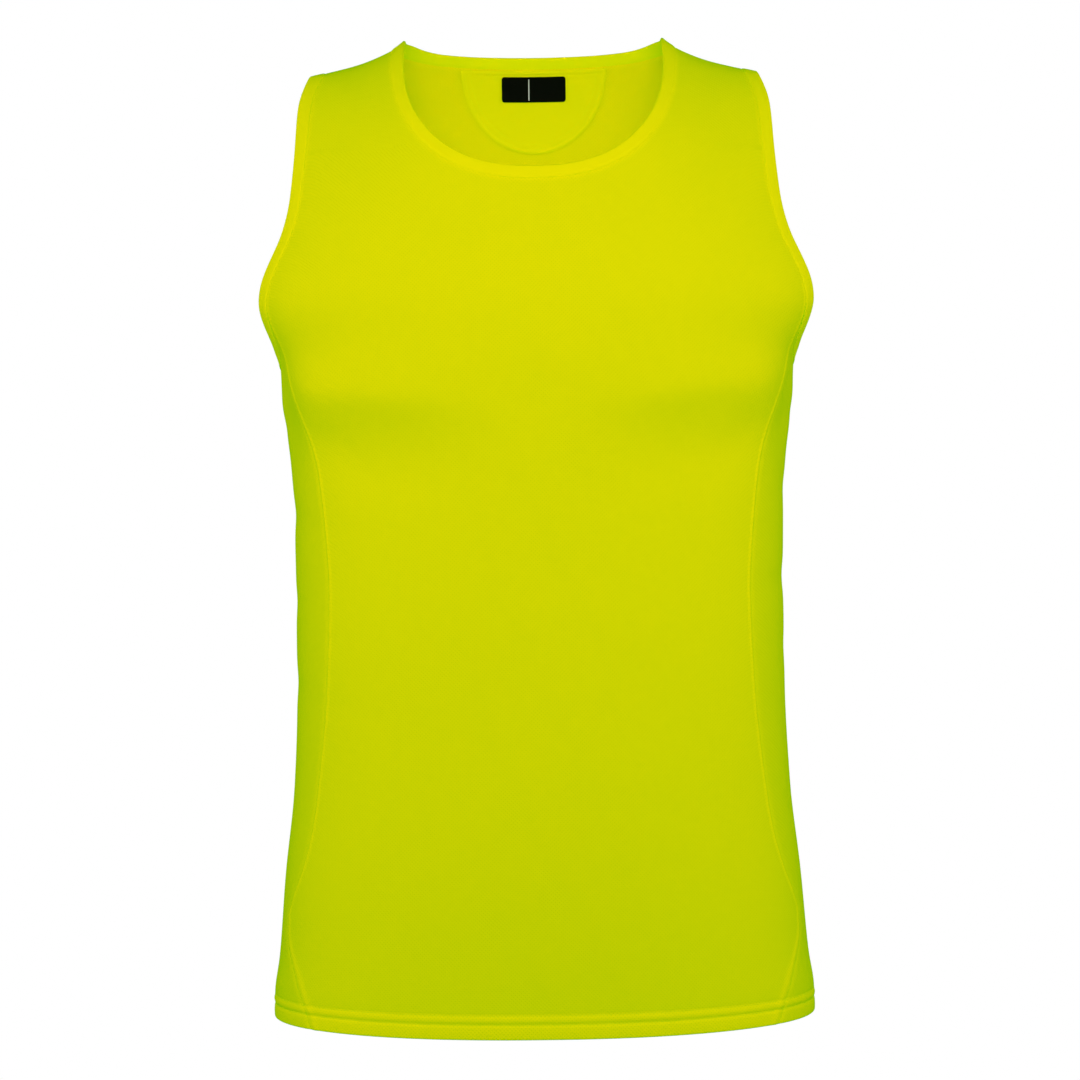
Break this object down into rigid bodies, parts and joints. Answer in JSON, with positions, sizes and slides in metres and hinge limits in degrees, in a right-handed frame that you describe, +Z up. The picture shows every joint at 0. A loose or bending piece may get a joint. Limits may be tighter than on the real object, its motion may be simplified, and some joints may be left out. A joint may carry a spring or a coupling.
{
  "type": "sleeveless running vest",
  "caption": "Sleeveless running vest in fluorescent yellow mesh knit, filled out as worn, with shaped side panels and bound neck and armholes.",
  "frame": {"origin": "midway between the shoulders, level with the points where the shoulder seams meet the neck", "axes": "+X to the wearer's left, +Y to the wearer's back, +Z up; the front faces -Y"},
  "size_m": [0.3802, 0.2318, 0.6844],
  "materials": {
    "mesh_knit": "matt polyester bird's-eye knit, fluorescent yellow",
    "mesh_knit_side": "matt polyester bird's-eye knit, fluorescent yellow",
    "binding_knit": "smooth folded polyester knit, fluorescent yellow",
    "facing_knit": "smooth polyester knit, fluorescent yellow",
    "label_film": "black heat-pressed film, bare"
  },
  "bodies": {
    "root": {"front_panel": "mesh_knit", "back_panel": "mesh_knit", "side_panel_left": "mesh_knit_side", "side_panel_right": "mesh_knit_side", "neck_binding": "binding_knit", "armhole_binding_left": "binding_knit", "armhole_binding_right": "binding_knit", "neck_facing": "facing_knit", "label": "label_film"}
  },
  "joints": []
}
